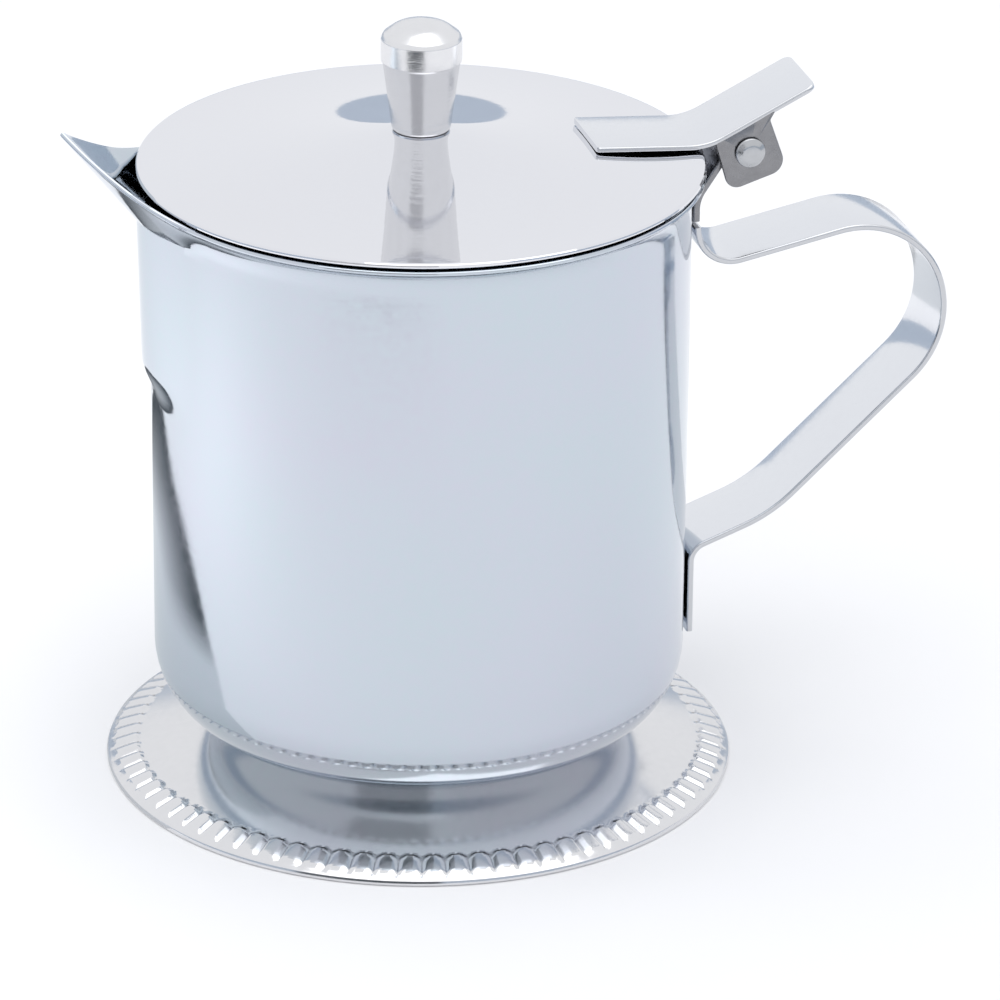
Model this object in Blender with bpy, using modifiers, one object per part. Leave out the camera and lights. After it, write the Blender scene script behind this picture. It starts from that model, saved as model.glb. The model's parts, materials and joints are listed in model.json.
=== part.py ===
"""Hinged-lid creamer on a flared foot, as separate solids. Metres, +Z up.

The origin is on the table under the middle of the whole object, between the spout's tip along -X and the
handle's loop along +X. The XZ plane is the plane of symmetry, and the lid turns about a pin that lies along Y.
Each piece is dimensioned from the cup's axis, which an empty places beside the origin.
"""
from math import atan2, asin, cos, hypot, pi, radians, sin, tan

import bmesh
import bpy
import numpy as np
from mathutils import Matrix

# Stock and clearances
GAP = 0.0003
CUP_SHEET = 0.0007
LID_SHEET = 0.0008
FOOT_SHEET = 0.0008
ROUND_STEPS = 64

# Cup: a straight wall on a rounded bottom corner, with a flared rim
CUP_RADIUS = 0.0375
CUP_BASE_Z = 0.0076
CUP_CORNER_RADIUS = 0.0107
CUP_SHOULDER_Z = 0.0856
RIM_RADIUS = 0.0394
RIM_Z = 0.0879
CORNER_STEPS = 5
FLARE_STEPS = 5
RIM_STEPS = 46

# Beak: the rim drawn out to a raised point, with a throat below it
BEAK_TIP_RADIUS = 0.0506
BEAK_TIP_Z = 0.0977
BEAK_HALF_ANGLE = radians(26.6)
BEAK_REACH_POWER = 1.28
BEAK_RISE_POWER = 1.46
BEAK_STEPS = 8
THROAT_BASE_Z = 0.0572
THROAT_FULL_Z = 0.0635
THROAT_FOOT_SHARE = 0.75
THROAT_DEPTH = 0.0024
THROAT_HALF_ANGLE = radians(20)
THROAT_STEPS = 6

# Foot: a flared dome with a turned-down edge, welded to the cup through a flat seat
FOOT_RADIUS = 0.0445
FOOT_EDGE_HEIGHT = 0.0008
FOOT_BORDER_RADIUS = 0.0396
FOOT_BORDER_Z = 0.00256
FOOT_NECK_RADIUS = 0.030
FOOT_NECK_Z = 0.0055
FOOT_SEAT_RADIUS = 0.0256
FOOT_SEAT_HOLE_RADIUS = 0.018
FOOT_SHOULDER_RADIUS = 0.0278
FOOT_SHOULDER_Z = 0.0063
FOOT_EDGE_ROUND = 0.0004

# Lid: a pressed disc that rises like a tent to a flat seat for the knob
LID_RADIUS = 0.03935
LID_TOP_Z = 0.0897
LID_RISE = 0.00567
LID_RISE_POWER = 1.8
LID_STEPS = 8
KNOB_SEAT_RADIUS = 0.0042
SCREW_HOLE_RADIUS = 0.0016

# Knob and the screw that holds it from below
KNOB_BASE_RADIUS = 0.0041
KNOB_BAND_RADIUS = 0.0056
KNOB_CONE_TOP_RADIUS = 0.0054
KNOB_CONE_HEIGHT = 0.0097
KNOB_BAND_TOP = 0.0137
KNOB_HEIGHT = 0.0158
KNOB_BORE_RADIUS = 0.0016
KNOB_BORE_DEPTH = 0.0070
KNOB_BAND_ROUND = 0.0004
KNOB_CROWN_RADIUS = 0.0034
KNOB_CROWN_Z = 0.0150
SCREW_RADIUS = 0.0012
SCREW_LENGTH = 0.0068
SCREW_HEAD_RADIUS = 0.0030
SCREW_HEAD_HEIGHT = 0.0014
SCREW_CROWN_RADIUS = 0.0021
SCREW_CROWN_HEIGHT = 0.0006
SMALL_STEPS = 32

# Hinge: the pin, the bracket that is rolled round it, and the thumb lever with its two ears
PIN_X = 0.0454
PIN_Z = 0.0892
PIN_RADIUS = 0.00125
PIN_HEAD_RADIUS = 0.00215
PIN_HEAD_HEIGHT = 0.0009
PIN_CROWN_RADIUS = 0.0015
KNUCKLE_BORE_RADIUS = PIN_RADIUS + GAP
BRACKET_SHEET = 0.001
BRACKET_WIDTH = 0.0104
BRACKET_FOOT_Z = 0.0790
BRACKET_BEND_Z = 0.0822
BRACKET_BEND_RADIUS = 0.005
KNUCKLE_WRAP = radians(285)
LEVER_SHEET = 0.0008
LEVER_WIDTH = 0.0127
LEVER_START_X = 0.0235
LEVER_START_Z = 0.0915
LEVER_BEND_X = 0.0394
LEVER_BEND_Z = 0.0906
LEVER_BEND_RADIUS = 0.010
LEVER_TIP_X = 0.0548
LEVER_TIP_Z = 0.0980
EAR_OUTLINE = ((0.0404, 0.0909), (0.0426, 0.0835), (0.0510, 0.0862), (0.0483, 0.0937), (0.0492, 0.0953))
EAR_CORNER_RADII = (0, 0.0018, 0.0022, 0.0006, 0)

# Handle: one flat strap with a tab against the wall at each end
STRAP_SHEET = 0.0009
STRAP_WIDTH = 0.0127
STRAP_TOP_Z = 0.0785
STRAP_DIP_Z = 0.0718
STRAP_DIP_RADIUS = 0.0053
STRAP_CREST = (0.0724, 0.0789)
STRAP_CREST_RADIUS = 0.0130
STRAP_TURN = (0.0757, 0.0580)
STRAP_TURN_RADIUS = 0.0138
STRAP_EASE = (0.0500, 0.0339)
STRAP_EASE_RADIUS = 0.0210
STRAP_HEEL_Z = 0.0295
STRAP_HEEL_RADIUS = 0.0028
STRAP_END_Z = 0.0168
BEND_STEP = radians(12)
HOLE_STEP = radians(15)
FOLD_ANGLE = radians(35)
WELD_DISTANCE = 0.00001


def collection(name):
    """A new collection of this name, linked to the scene."""
    made = bpy.data.collections.new(name)
    bpy.context.scene.collection.children.link(made)
    return made


def steel(name, colour, roughness):
    """A stainless steel finish, made once."""
    material = bpy.data.materials.get(name) or bpy.data.materials.new(name)
    material.use_nodes = True
    shader = material.node_tree.nodes["Principled BSDF"]
    shader.inputs["Base Color"].default_value = (*colour, 1)
    shader.inputs["Roughness"].default_value = roughness
    shader.inputs["Metallic"].default_value = 1
    return material


def satin_steel():
    """The finely brushed finish of the cup."""
    return steel("satin_steel", (0.78, 0.80, 0.83), 0.25)


def mirror_steel():
    """The polished finish of the lid and the foot."""
    return steel("mirror_steel", (0.84, 0.85, 0.87), 0.08)


def strap_steel():
    """The polished strip of the handle and the thumb lever."""
    return steel("strap_steel", (0.80, 0.81, 0.84), 0.16)


def turned_steel():
    """The lathe finish of the knob."""
    return steel("turned_steel", (0.74, 0.74, 0.75), 0.22)


def hinge_steel():
    """The plain finish of the bracket, the pin and the screw."""
    return steel("hinge_steel", (0.62, 0.63, 0.64), 0.35)


def add_object(name, mesh, material, home):
    """Puts a mesh into the scene as one named part."""
    part = bpy.data.objects.new(name, mesh)
    home.objects.link(part)
    if material:
        mesh.materials.append(material)
    return part


def mesh_of(name, points, faces):
    """A mesh from points and faces, shaded smooth with sharp folds kept."""
    mesh = bpy.data.meshes.new(name)
    mesh.from_pydata([tuple(point) for point in points], [], faces)
    mesh.shade_smooth()
    mesh.set_sharp_from_angle(angle=FOLD_ANGLE)
    return mesh


def solidify(part, thickness, offset):
    """Gives an open surface its sheet thickness."""
    shell = part.modifiers.new("Sheet", "SOLIDIFY")
    shell.thickness = thickness
    shell.offset = offset
    shell.use_even_offset = True


def turned(name, profile, steps, material, home):
    """Turns a closed profile of (radius, height) points about the Z axis."""
    mesh = bpy.data.meshes.new(name)
    edges = [(i, (i + 1) % len(profile)) for i in range(len(profile))]
    mesh.from_pydata([(radius, 0, height) for radius, height in profile], edges, [])
    part = add_object(name, mesh, material, home)
    screw = part.modifiers.new("Turn", "SCREW")
    screw.axis = "Z"
    screw.angle = 2 * pi
    screw.steps = steps
    screw.render_steps = steps
    screw.use_merge_vertices = True
    screw.merge_threshold = WELD_DISTANCE
    screw.use_smooth_shade = True
    return part


def arc(centre, radius, start, end, step=BEND_STEP):
    """Points of an arc from one angle to another, both ends included."""
    count = max(2, round(abs(end - start) / step))
    return [
        (centre[0] + radius * cos(a), centre[1] + radius * sin(a))
        for a in np.linspace(start, end, count + 1)
    ]


def rounded_path(corners, radii, closed=False):
    """A path through corner points, each corner rounded to its radius."""
    points = []
    count = len(corners)
    for i, (corner, radius) in enumerate(zip(corners, radii)):
        at_end = not closed and i in (0, count - 1)
        if at_end or radius == 0:
            points.append(tuple(corner))
            continue
        here = np.array(corner)
        back = np.array(corners[i - 1]) - here
        ahead = np.array(corners[(i + 1) % count]) - here
        back = back / hypot(*back)
        ahead = ahead / hypot(*ahead)
        half = 0.5 * np.arccos(np.clip(back @ ahead, -1, 1))
        centre = here + (back + ahead) / hypot(*(back + ahead)) * radius / sin(half)
        start_point = here + back * radius / tan(half)
        end_point = here + ahead * radius / tan(half)
        start = atan2(*(start_point - centre)[::-1])
        end = atan2(*(end_point - centre)[::-1])
        sweep = (end - start + pi) % (2 * pi) - pi
        points += arc(centre, radius, start, start + sweep)
    return points


def strap(name, path, width, thickness, material, home):
    """A flat strip of even thickness that follows a path of (x, z) points."""
    count = len(path)
    near = [(x, -width / 2, z) for x, z in path]
    far = [(x, width / 2, z) for x, z in path]
    faces = [(i, i + 1, count + i + 1, count + i) for i in range(count - 1)]
    part = add_object(name, mesh_of(name, near + far, faces), material, home)
    solidify(part, thickness, 0)
    return part


def outline_plate(name, outline, hole_centre, hole_radius, middle_y, thickness, home):
    """A flat plate with one round hole, standing in an XZ plane, as a mesh."""
    curve = bpy.data.curves.new(name, "CURVE")
    curve.dimensions = "2D"
    curve.fill_mode = "BOTH"
    curve.extrude = thickness / 2
    hole = arc(hole_centre, hole_radius, 0, 2 * pi, HOLE_STEP)[:-1]
    for loop in (outline, hole):
        spline = curve.splines.new("POLY")
        spline.points.add(len(loop) - 1)
        for point, (x, z) in zip(spline.points, loop):
            point.co = (x, z, 0, 1)
        spline.use_cyclic_u = True
    flat = bpy.data.objects.new(name, curve)
    home.objects.link(flat)
    evaluated = flat.evaluated_get(bpy.context.evaluated_depsgraph_get())
    mesh = bpy.data.meshes.new_from_object(evaluated)
    mesh.transform(Matrix.Translation((0, middle_y, 0)) @ Matrix.Rotation(pi / 2, 4, "X"))
    bpy.data.objects.remove(flat)
    welded = bmesh.new()
    welded.from_mesh(mesh)
    bmesh.ops.remove_doubles(welded, verts=welded.verts, dist=WELD_DISTANCE)
    bmesh.ops.recalc_face_normals(welded, faces=welded.faces)
    welded.to_mesh(mesh)
    welded.free()
    plate = add_object(name, mesh, None, home)
    plate.hide_render = True
    plate.display_type = "WIRE"
    return plate


def join(part, tool):
    """Unites a tool with a part, and keeps the tool in its place on the part."""
    tool.parent = part
    union = part.modifiers.new("Join", "BOOLEAN")
    union.operation = "UNION"
    union.solver = "EXACT"
    union.object = tool


def smooth_step(value):
    """Rises smoothly from 0 to 1 as the value does."""
    value = min(1, max(0, value))
    return value * value * (3 - 2 * value)


def cup_profile(angle):
    """Outer profile of the cup, from its base to its rim, at an angle from the spout's axis."""
    share = max(0, 1 - abs(angle) / BEAK_HALF_ANGLE)
    rim_radius = RIM_RADIUS + (BEAK_TIP_RADIUS - RIM_RADIUS) * share ** BEAK_REACH_POWER
    rim_z = RIM_Z + (BEAK_TIP_Z - RIM_Z) * share ** BEAK_RISE_POWER
    corner_radius = CUP_RADIUS - CUP_CORNER_RADIUS
    corner_z = CUP_BASE_Z + CUP_CORNER_RADIUS
    step = pi / 2 / CORNER_STEPS
    profile = arc((corner_radius, corner_z), CUP_CORNER_RADIUS, -pi / 2, 0, step)
    for z in np.linspace(THROAT_BASE_Z, CUP_SHOULDER_Z, THROAT_STEPS + 1):
        foot = smooth_step((z - THROAT_BASE_Z) / (THROAT_FULL_Z - THROAT_BASE_Z))
        above = max(0, (z - THROAT_FULL_Z) / (CUP_SHOULDER_Z - THROAT_FULL_Z))
        rise = foot * (THROAT_FOOT_SHARE + (1 - THROAT_FOOT_SHARE) * above)
        spread = max(0, 1 - abs(angle) / THROAT_HALF_ANGLE)
        profile.append((CUP_RADIUS + THROAT_DEPTH * rise * smooth_step(spread), z))
    shoulder_radius = profile[-1][0]
    straight = smooth_step(2 * share)
    for t in np.linspace(0, 1, FLARE_STEPS + 1)[1:]:
        out = straight * t + (1 - straight) * (1 - cos(t * pi / 2))
        up = straight * t + (1 - straight) * sin(t * pi / 2)
        radius = shoulder_radius + (rim_radius - shoulder_radius) * out
        profile.append((radius, CUP_SHOULDER_Z + (rim_z - CUP_SHOULDER_Z) * up))
    return profile


def build_cup(home):
    """The cup: a lofted skin whose rim runs out to the beak, with its wall inside it."""
    beak = np.linspace(-BEAK_HALF_ANGLE, BEAK_HALF_ANGLE, 2 * BEAK_STEPS + 1)
    rest = np.linspace(BEAK_HALF_ANGLE, 2 * pi - BEAK_HALF_ANGLE, RIM_STEPS + 1)[1:-1]
    angles = [*beak, *rest]
    points = [(0, 0, CUP_BASE_Z)]
    for angle in angles:
        signed = (angle + pi) % (2 * pi) - pi
        points += [(-r * cos(angle), -r * sin(angle), z) for r, z in cup_profile(signed)]
    rows = len(angles)
    levels = (len(points) - 1) // rows
    faces = []
    for row in range(rows):
        here = 1 + row * levels
        ahead = 1 + (row + 1) % rows * levels
        faces.append((0, ahead, here))
        for level in range(levels - 1):
            faces.append((here + level, ahead + level, ahead + level + 1, here + level + 1))
    cup = add_object("cup", mesh_of("cup", points, faces), satin_steel(), home)
    solidify(cup, CUP_SHEET, -1)
    return cup


def build_foot(home):
    """The foot: a pressed dome with a flat seat at the top and an edge turned down to the table."""
    seat_z = CUP_BASE_Z - GAP
    inner_radius = FOOT_RADIUS - FOOT_SHEET
    top = [
        (FOOT_SEAT_RADIUS, seat_z),
        (FOOT_SHOULDER_RADIUS, FOOT_SHOULDER_Z),
        (FOOT_NECK_RADIUS, FOOT_NECK_Z),
        (FOOT_BORDER_RADIUS, FOOT_BORDER_Z),
    ]
    profile = [
        (FOOT_SEAT_HOLE_RADIUS, seat_z),
        *top,
        (FOOT_RADIUS - FOOT_EDGE_ROUND, FOOT_EDGE_HEIGHT + FOOT_EDGE_ROUND / 2),
        (FOOT_RADIUS, FOOT_EDGE_HEIGHT),
        (FOOT_RADIUS, 0),
        (inner_radius, 0),
        (inner_radius, FOOT_EDGE_HEIGHT - FOOT_EDGE_ROUND),
        *[(radius, height - FOOT_SHEET) for radius, height in reversed(top)],
        (FOOT_SEAT_HOLE_RADIUS, seat_z - FOOT_SHEET),
    ]
    return turned("foot", profile, ROUND_STEPS, mirror_steel(), home)


def lid_height(radius):
    """Height of the lid's top face at a radius, level over the knob's seat."""
    radius = max(radius, KNOB_SEAT_RADIUS)
    return LID_TOP_Z + LID_RISE * (1 - radius / LID_RADIUS) ** LID_RISE_POWER


def build_lid(home):
    """The lid: one pressed sheet with a hole for the knob's screw."""
    radii = np.linspace(KNOB_SEAT_RADIUS, LID_RADIUS, LID_STEPS + 1)
    top = [(SCREW_HOLE_RADIUS, lid_height(0))]
    top += [(radius, lid_height(radius)) for radius in radii]
    profile = top + [(radius, height - LID_SHEET) for radius, height in reversed(top)]
    return turned("lid", profile, ROUND_STEPS, mirror_steel(), home)


def build_knob(home):
    """The knob: a cone that widens to a band under a low dome, bored for its screw."""
    base = lid_height(0) + GAP
    profile = [
        (0, base + KNOB_HEIGHT),
        (KNOB_CROWN_RADIUS, base + KNOB_CROWN_Z),
        (KNOB_BAND_RADIUS - KNOB_BAND_ROUND, base + KNOB_BAND_TOP),
        (KNOB_BAND_RADIUS, base + KNOB_BAND_TOP - KNOB_BAND_ROUND),
        (KNOB_BAND_RADIUS, base + KNOB_CONE_HEIGHT + KNOB_BAND_ROUND),
        (KNOB_CONE_TOP_RADIUS, base + KNOB_CONE_HEIGHT),
        (KNOB_BASE_RADIUS, base),
        (KNOB_BORE_RADIUS, base),
        (KNOB_BORE_RADIUS, base + KNOB_BORE_DEPTH),
        (0, base + KNOB_BORE_DEPTH),
    ]
    return turned("knob", profile, SMALL_STEPS, turned_steel(), home)


def build_knob_screw(home):
    """The screw: its head under the lid and its shank up inside the knob."""
    head_top = lid_height(0) - LID_SHEET - GAP
    profile = [
        (0, head_top + SCREW_LENGTH),
        (SCREW_RADIUS, head_top + SCREW_LENGTH),
        (SCREW_RADIUS, head_top),
        (SCREW_HEAD_RADIUS, head_top),
        (SCREW_HEAD_RADIUS, head_top - SCREW_HEAD_HEIGHT + SCREW_CROWN_HEIGHT),
        (SCREW_CROWN_RADIUS, head_top - SCREW_HEAD_HEIGHT),
        (0, head_top - SCREW_HEAD_HEIGHT),
    ]
    return turned("knob_screw", profile, SMALL_STEPS, hinge_steel(), home)


def build_pin(home):
    """The hinge pin: a rivet with a round head outside each ear."""
    half = LEVER_WIDTH / 2 + GAP
    end = half + PIN_HEAD_HEIGHT
    profile = [
        (0, end),
        (PIN_CROWN_RADIUS, end),
        (PIN_HEAD_RADIUS, half + PIN_HEAD_HEIGHT / 2),
        (PIN_HEAD_RADIUS, half),
        (PIN_RADIUS, half),
        (PIN_RADIUS, -half),
        (PIN_HEAD_RADIUS, -half),
        (PIN_HEAD_RADIUS, -half - PIN_HEAD_HEIGHT / 2),
        (PIN_CROWN_RADIUS, -end),
        (0, -end),
    ]
    pin = turned("hinge_pin", profile, SMALL_STEPS, hinge_steel(), home)
    pin.rotation_euler.x = pi / 2
    pin.location = (PIN_X, 0, PIN_Z)
    return pin


def build_bracket(home):
    """The bracket: a strip from the wall, bent outwards and rolled round the pin."""
    wall_x = CUP_RADIUS + GAP + BRACKET_SHEET / 2
    knuckle = KNUCKLE_BORE_RADIUS + BRACKET_SHEET / 2
    run = hypot(PIN_X - wall_x, PIN_Z - BRACKET_BEND_Z)
    heading = atan2(PIN_Z - BRACKET_BEND_Z, PIN_X - wall_x) + asin(knuckle / run)
    roll = arc((PIN_X, PIN_Z), knuckle, heading + pi / 2, heading + pi / 2 - KNUCKLE_WRAP)
    corners = [(wall_x, BRACKET_FOOT_Z), (wall_x, BRACKET_BEND_Z), roll[0]]
    path = rounded_path(corners, (0, BRACKET_BEND_RADIUS, 0)) + roll[1:]
    return strap("hinge_bracket", path, BRACKET_WIDTH, BRACKET_SHEET, hinge_steel(), home)


def build_lever(home, tools):
    """The thumb lever: a plate on the lid, bent up behind it, with an ear on each side."""
    corners = [(LEVER_START_X, LEVER_START_Z), (LEVER_BEND_X, LEVER_BEND_Z), (LEVER_TIP_X, LEVER_TIP_Z)]
    path = rounded_path(corners, (0, LEVER_BEND_RADIUS, 0))
    lever = strap("thumb_lever", path, LEVER_WIDTH, LEVER_SHEET, strap_steel(), home)
    outline = rounded_path(EAR_OUTLINE, EAR_CORNER_RADII, closed=True)
    middle = (LEVER_WIDTH - LEVER_SHEET) / 2
    hole = (PIN_X, PIN_Z)
    for side, y in (("left", middle), ("right", -middle)):
        ear = outline_plate(f"ear_{side}", outline, hole, KNUCKLE_BORE_RADIUS, y, LEVER_SHEET, tools)
        join(lever, ear)
    return lever


def handle_path():
    """Middle line of the handle: down the wall, out and over the fingers, and back to the wall."""
    wall_x = CUP_RADIUS + GAP + STRAP_SHEET / 2
    corners = [
        (wall_x, STRAP_TOP_Z),
        (wall_x, STRAP_DIP_Z),
        STRAP_CREST,
        STRAP_TURN,
        STRAP_EASE,
        (wall_x, STRAP_HEEL_Z),
        (wall_x, STRAP_END_Z),
    ]
    radii = (
        0,
        STRAP_DIP_RADIUS,
        STRAP_CREST_RADIUS,
        STRAP_TURN_RADIUS,
        STRAP_EASE_RADIUS,
        STRAP_HEEL_RADIUS,
        0,
    )
    return rounded_path(corners, radii)


def build_handle(home):
    """The handle: one flat strap with a tab against the wall at each end."""
    return strap("handle", handle_path(), STRAP_WIDTH, STRAP_SHEET, strap_steel(), home)


def empty(name, location, parent, home):
    """An empty that carries other pieces."""
    made = bpy.data.objects.new(name, None)
    made.location = location
    made.parent = parent
    home.objects.link(made)
    return made


def build():
    """Clears the scene and models every piece, the lid's own pieces under an empty on the hinge axis."""
    for item in list(bpy.data.objects):
        bpy.data.objects.remove(item)
    home = collection("creamer")
    tools = collection("tools")
    fixed = [build_cup(home), build_foot(home), build_handle(home), build_bracket(home), build_pin(home)]
    moving = [build_lid(home), build_lever(home, tools), build_knob(home), build_knob_screw(home)]
    loop_reach = max(x for x, z in handle_path()) + STRAP_SHEET / 2
    cup_axis = empty("cup_axis", ((BEAK_TIP_RADIUS - loop_reach) / 2, 0, 0), None, home)
    lid_hinge = empty("lid_hinge", (PIN_X, 0, PIN_Z), cup_axis, home)
    for part in fixed:
        part.parent = cup_axis
    for part in moving:
        part.parent = lid_hinge
        part.location = -lid_hinge.location


build()
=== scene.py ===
import json
from math import asin, atan2, cos, hypot, pi, radians, sin, tan

import bpy
import numpy as np
from mathutils import Matrix, Vector


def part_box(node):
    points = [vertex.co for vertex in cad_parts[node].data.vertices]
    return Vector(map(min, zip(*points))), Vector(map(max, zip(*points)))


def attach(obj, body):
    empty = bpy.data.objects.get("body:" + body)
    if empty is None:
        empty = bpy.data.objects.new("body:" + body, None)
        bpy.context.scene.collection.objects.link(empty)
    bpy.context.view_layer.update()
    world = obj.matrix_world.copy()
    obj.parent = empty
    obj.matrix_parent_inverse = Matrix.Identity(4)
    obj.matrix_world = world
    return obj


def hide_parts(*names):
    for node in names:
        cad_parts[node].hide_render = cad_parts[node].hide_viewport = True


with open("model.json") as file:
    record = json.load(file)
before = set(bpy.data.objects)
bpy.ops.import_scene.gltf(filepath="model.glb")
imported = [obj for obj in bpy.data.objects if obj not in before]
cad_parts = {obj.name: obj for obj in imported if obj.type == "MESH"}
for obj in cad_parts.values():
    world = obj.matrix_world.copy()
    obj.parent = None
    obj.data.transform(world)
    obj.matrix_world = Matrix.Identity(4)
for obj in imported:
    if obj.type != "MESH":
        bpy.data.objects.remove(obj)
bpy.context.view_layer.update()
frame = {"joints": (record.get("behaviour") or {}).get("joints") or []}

bl_info = {
    "name": "Hinged-lid creamer",
    "version": (1, 0, 0),
    "blender": (4, 5, 0),
    "location": "View3D > Sidebar > Creamer",
    "description": "Builds the pieces, finishes and studio of a hinged-lid creamer around its packed frame",
    "category": "Mesh",
}

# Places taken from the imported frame, in metres
LID_LOW, LID_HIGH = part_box("lid")
CUP_BOTTOM_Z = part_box("cup")[0].z
KNOB_BOTTOM_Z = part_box("knob")[0].z
AXIS_X = (LID_LOW.x + LID_HIGH.x) / 2
LID_RADIUS = (LID_HIGH.x - LID_LOW.x) / 2
HINGE = frame["joints"][0]["pos_m"]
PIN_X = HINGE[0] - AXIS_X
PIN_Z = HINGE[2]

# Gaps, roundings and steps that all the pieces share
WELD_GAP = 0.0003
EDGE_CUT_SHARE = 0.3
ARC_STEP = radians(3)
FOLD_ANGLE = radians(28)
WELD_DIGITS = 7
STRIP_STEPS = 24

# Cup, measured from its own axis, as all the lines below are
CUP_RADIUS = 0.0375
CUP_CORNER_RADIUS = 0.0107
CUP_SHOULDER_Z = 0.0842
RIM_RADIUS = 0.0394
RIM_Z = 0.0879
BEAK_TIP_RADIUS = 0.0506
BEAK_TIP_Z = 0.0977
BEAK_HALF_ANGLE = radians(26.6)
BEAK_REACH_POWER = 1.28
BEAK_RISE_POWER = 1.46
THROAT_BASE_Z = 0.0572
THROAT_FULL_Z = 0.0635
THROAT_FOOT_SHARE = 0.75
THROAT_HALF_ANGLE = radians(20)
FINE_HALF_ANGLE = 0.62
FINE_STEPS = 181
COARSE_STEPS = 131
BASE_POINTS = 4
CORNER_POINTS = 15
LOW_WALL_POINTS = 5
THROAT_POINTS = 26
FLARE_POINTS = 15

# Foot, as (radius, height)
FOOT_LINE = (
    (0.018, 0.0073), (0.0262, 0.0073), (0.0290, 0.0057), (0.0396, 0.00256), (0.0445, 0.0009), (0.0445, 0),
)
FOOT_LINE_RADII = (0, 0.0016, 0.010, 0.020, 0.0008, 0)
FOOT_POINTS = 68
FOOT_CAP_POINTS = 4
FLUTE_INNER_RADIUS = 0.0396
FLUTE_OUTER_RADIUS = 0.0438
FLUTE_END_DEPTH = 0.0011
FLUTE_BLEND = 0.0007
FLUTE_STEPS = 8

# Lid, knob and screw, as (radius, height). The knob sinks below its packed place, into most of the weld gap
SCREW_HOLE_RADIUS = 0.0016
SEAT_MIDDLE_RADIUS = 0.003
KNOB_SEAT_RADIUS = 0.0042
KNOB_SINK = 0.0002
LID_RISE_POWER = 1.8
LID_POINTS = 60
LID_STEPS = 240
KNOB_STEPS = 96
KNOB_LINE = (
    (0, 0.0158), (0.0036, 0.0150), (0.0053, 0.0137), (0.0056, 0.0131), (0.0056, 0.0100),
    (0.00535, 0.0097), (0.0041, 0.0003), (0.0039, 0), (0.0016, 0), (0.0016, 0.0070), (0, 0.0070),
)
KNOB_LINE_RADII = (0, 0.0040, 0.0010, 0.0003, 0.0002, 0.0002, 0.0002, 0, 0, 0, 0)
SCREW_LINE = (
    (0, 0.0068), (0.0012, 0.0068), (0.0012, 0), (0.0030, 0),
    (0.0030, -0.0006), (0.0021, -0.0014), (0, -0.0014),
)
SCREW_LINE_RADII = (0, 0.0002, 0, 0.0001, 0.0004, 0.0006, 0)

# Hinge, with its lines as (x, height), and the pin as (radius, distance past its half length)
KNUCKLE_BORE_RADIUS = 0.00155
BRACKET_WIDTH = 0.0104
BRACKET_SHEET = 0.001
BRACKET_FOOT_Z = 0.0790
BRACKET_BEND_Z = 0.0822
BRACKET_BEND_RADIUS = 0.005
KNUCKLE_WRAP = radians(285)
KNUCKLE_POINTS = 80
PIN_HALF = 0.00665
PIN_STEPS = 64
PIN_LINE = ((0, 0.0009), (0.0013, 0.00075), (0.00215, 0.0003), (0.00215, 0), (0.00125, 0))
PIN_LINE_RADII = (0, 0.0012, 0.0003, 0.0001, 0)
LEVER_WIDTH = 0.0127
LEVER_LINE = ((0.0235, 0.09128), (0.0394, 0.09028), (0.0548, 0.0980))
LEVER_BEND_RADIUS = 0.010
LEVER_FRONT_RADIUS = 0.0004
LEVER_TIP_RADIUS = 0.0013
LEVER_POINTS = 160
EAR_OUTLINE = ((0.0404, 0.0909), (0.0426, 0.0835), (0.0510, 0.0862), (0.0483, 0.0937), (0.0492, 0.0953))
EAR_CORNER_RADII = (0.0001, 0.0018, 0.0022, 0.0008, 0.0001)
EAR_POINTS = 120

# Handle, with its corners as (x, height)
STRAP_TOP_Z = 0.0785
STRAP_DIP_Z = 0.0718
STRAP_CREST = (0.0724, 0.0789)
STRAP_TURN = (0.0757, 0.0580)
STRAP_EASE = (0.0500, 0.0339)
STRAP_HEEL_Z = 0.0295
STRAP_END_Z = 0.0168
STRAP_RADII = (0, 0.0053, 0.0130, 0.0138, 0.0210, 0.0028, 0)
STRAP_POINTS = 260

# Marks on the steel
EDGE_LABEL = "edge"
FINE_MARK_SHARE = 0.35
MARK_RANGE = (0.34, 0.66)

# Studio, from the cup's axis, with +X to the camera's right and -Y towards the camera
MATT = 0.9
DISC_SIDES = 96
FLOOR_SIDES = 128
# Painted shadows: discs laid on the floor and hidden from the camera stand in for the pot's own shadows, so
# they show only in the steel. The faded disc darkens towards its edge and away from the cup.
PAINTED_SHADOW_MIDDLE = (-0.038, 0.050, 0)
PAINTED_SHADOW_RADIUS = 0.078
PALE_SHADOW_Z = 0.0003
FADED_SHADOW_Z = 0.0005
FADED_SHADOW_ARC = (radians(5), radians(245))
SHADOW_EDGE_FADE = (0.034, 0.074)
CUP_FADE = (0.076, 0.092)
BACK_SHADOW_MIDDLE = (-0.005, 0.150, 0.0007)
BACK_SHADOW_RADIUS = 0.060
BACK_SHADOW_SIDES = 64
FRONT_CARDS = (
    ("front_shade", (-0.179, -0.222), (0.042, -0.283), 0.0, 0.055),
    ("front_grey", (-0.160, -0.227), (0.036, -0.281), 0.055, 0.215),
)
KEY_SIZE = (1.2, 1.2)
KEY_PLACE = (0.2, -0.2, 1.3)
KEY_TARGET = (0, 0, 0.04)
SIDE_SIZE = (0.06, 0.06)
SIDE_PLACE = (-0.16, -0.005, 0.12)
SIDE_TARGET = (-0.16, 0, 0)


# ---------------------------------------------------------------- shape helpers


def smooth_step(value):
    """Rises from 0 to 1 as 3v^2 - 2v^3, flat outside."""
    value = np.clip(value, 0, 1)
    return value * value * (3 - 2 * value)


def unit(vectors):
    """Vectors over their lengths."""
    return vectors / np.maximum(np.linalg.norm(vectors, axis=-1, keepdims=True), 1e-12)


def full_turn(steps):
    """Equal angles once round."""
    return np.linspace(0, 2 * pi, steps, endpoint=False)


def runs(path):
    """Length of a path up to each of its points."""
    return np.concatenate([[0], np.cumsum(np.linalg.norm(np.diff(path, axis=0), axis=1))])


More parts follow.
